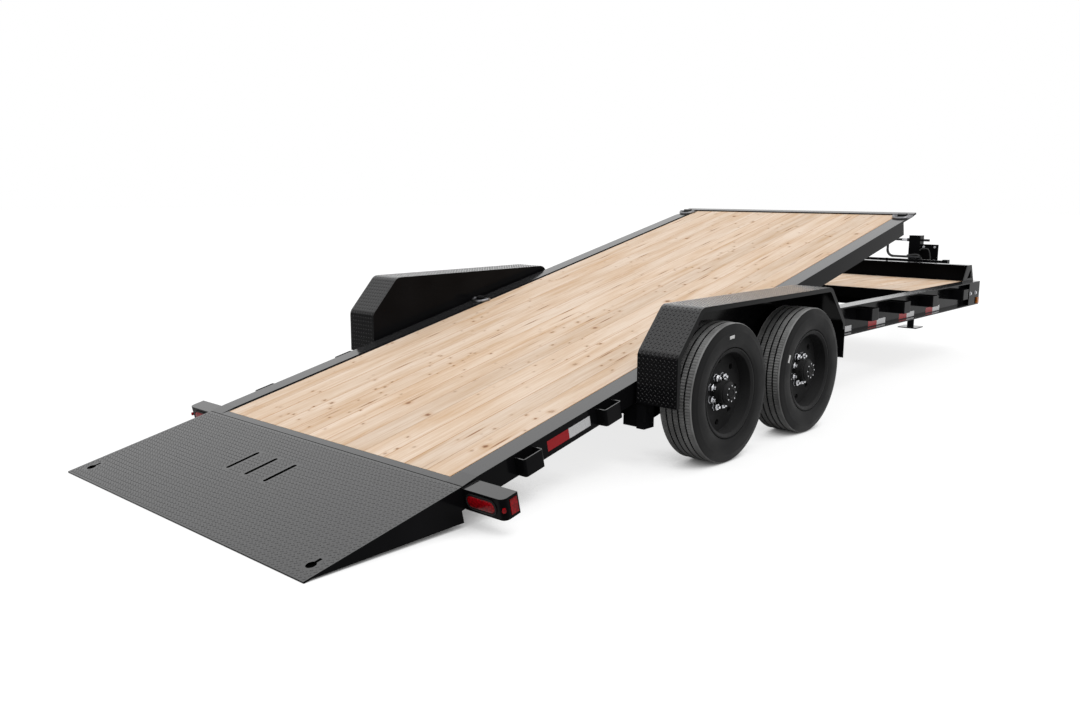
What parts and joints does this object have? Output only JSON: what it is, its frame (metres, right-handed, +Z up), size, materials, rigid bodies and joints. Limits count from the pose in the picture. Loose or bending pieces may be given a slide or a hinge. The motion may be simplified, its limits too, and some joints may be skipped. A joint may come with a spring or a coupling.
{
  "type": "tilt equipment trailer",
  "caption": "Tandem-axle tilt-bed equipment trailer with a plank bed that tips on a pivot until its wedge tail meets the ground, a fixed front deck, fenders, jack and ball coupler.",
  "frame": {"origin": "on the ground below the middle of the overall box", "axes": "+X to the tow end, +Y to the trailer's left, +Z up"},
  "size_m": [8.6528, 2.61, 1.2426],
  "materials": {
    "black_paint": "glossy black powder coat",
    "tread_plate": "raised tread plate in glossy black powder coat",
    "wheel_paint": "satin black paint",
    "hub_paint": "satin black paint",
    "plated_steel": "dark plated steel",
    "bright_rod": "polished rod",
    "planks": "bare planed pine",
    "tyre": "matte rubber",
    "red_lens": "clear red lens",
    "amber_lens": "clear amber lens"
  },
  "bodies": {
    "chassis": {"rail_left": "black_paint", "rail_right": "black_paint", "frame_crossmembers": "black_paint", "pivot_brackets": "black_paint", "cylinder_foot": "black_paint", "front_header": "black_paint", "corner_boxes": "black_paint", "amber_markers": "amber_lens", "front_planks": "planks", "front_deck_edge": "black_paint", "bulkhead_rail": "black_paint", "frame_stake_pockets": "black_paint", "tongue_beams": "black_paint", "coupler": "black_paint", "jack_mount": "black_paint", "jack_tube": "black_paint", "jack_leg": "plated_steel", "jack_crank": "plated_steel", "tongue_bar": "black_paint", "valve_plate": "black_paint", "axle_front": "black_paint", "axle_rear": "black_paint", "axle_brackets": "black_paint", "fender_left": "tread_plate", "fender_right": "tread_plate"},
    "bed": {"bed_beam_left": "black_paint", "bed_beam_right": "black_paint", "bed_crossmembers": "black_paint", "bed_pivot_ears": "black_paint", "bed_planks": "planks", "front_lip": "black_paint", "rear_beam": "black_paint", "tail_plate": "tread_plate", "tail_frame": "black_paint", "tail_lamp_boxes": "black_paint", "tail_lamps": "red_lens", "marker_lamps": "red_lens", "reflectors": "red_lens", "bed_stake_pockets": "black_paint", "tie_straps": "black_paint", "tie_rings": "plated_steel", "cylinder_lug": "black_paint"},
    "wheel_front_left": {"tyre_front_left": "tyre", "rim_front_left": "wheel_paint", "hub_front_left": "hub_paint"},
    "wheel_front_right": {"tyre_front_right": "tyre", "rim_front_right": "wheel_paint", "hub_front_right": "hub_paint"},
    "wheel_rear_left": {"tyre_rear_left": "tyre", "rim_rear_left": "wheel_paint", "hub_rear_left": "hub_paint"},
    "wheel_rear_right": {"tyre_rear_right": "tyre", "rim_rear_right": "wheel_paint", "hub_rear_right": "hub_paint"},
    "cylinder_barrel": {"cylinder_barrel": "black_paint"},
    "cylinder_rod": {"cylinder_rod": "bright_rod"}
  },
  "joints": [
    {"name": "bed_tilt", "type": "hinge", "parent": "chassis", "child": "bed", "pos_m": [-1.03361, 0, 0.588], "axis": [0, 1, 0], "range_deg": [0, 12.62]},
    {"name": "wheel_front_left_spin", "type": "hinge", "parent": "chassis", "child": "wheel_front_left", "pos_m": [-1.03511, 1.1975, 0.368], "axis": [0, 1, 0], "continuous": true},
    {"name": "wheel_front_right_spin", "type": "hinge", "parent": "chassis", "child": "wheel_front_right", "pos_m": [-1.03511, -1.1975, 0.368], "axis": [0, 1, 0], "continuous": true},
    {"name": "wheel_rear_left_spin", "type": "hinge", "parent": "chassis", "child": "wheel_rear_left", "pos_m": [-1.91211, 1.1975, 0.368], "axis": [0, 1, 0], "continuous": true},
    {"name": "wheel_rear_right_spin", "type": "hinge", "parent": "chassis", "child": "wheel_rear_right", "pos_m": [-1.91211, -1.1975, 0.368], "axis": [0, 1, 0], "continuous": true},
    {"name": "cylinder_swing", "type": "hinge", "parent": "chassis", "child": "cylinder_barrel", "pos_m": [-0.14361, 0, 0.52], "axis": [0, 1, 0], "range_deg": [0, 21.93]},
    {"name": "rod_slide", "type": "slide", "parent": "cylinder_barrel", "child": "cylinder_rod", "axis": [-0.9031, 0, -0.4294], "range_m": [0, 0.06364]}
  ],
  "couplings": [
    {"joint": "cylinder_swing", "follows": "bed_tilt", "ratio": 1.7379},
    {"joint": "rod_slide", "follows": "bed_tilt", "m_per_rad": 0.28857}
  ]
}
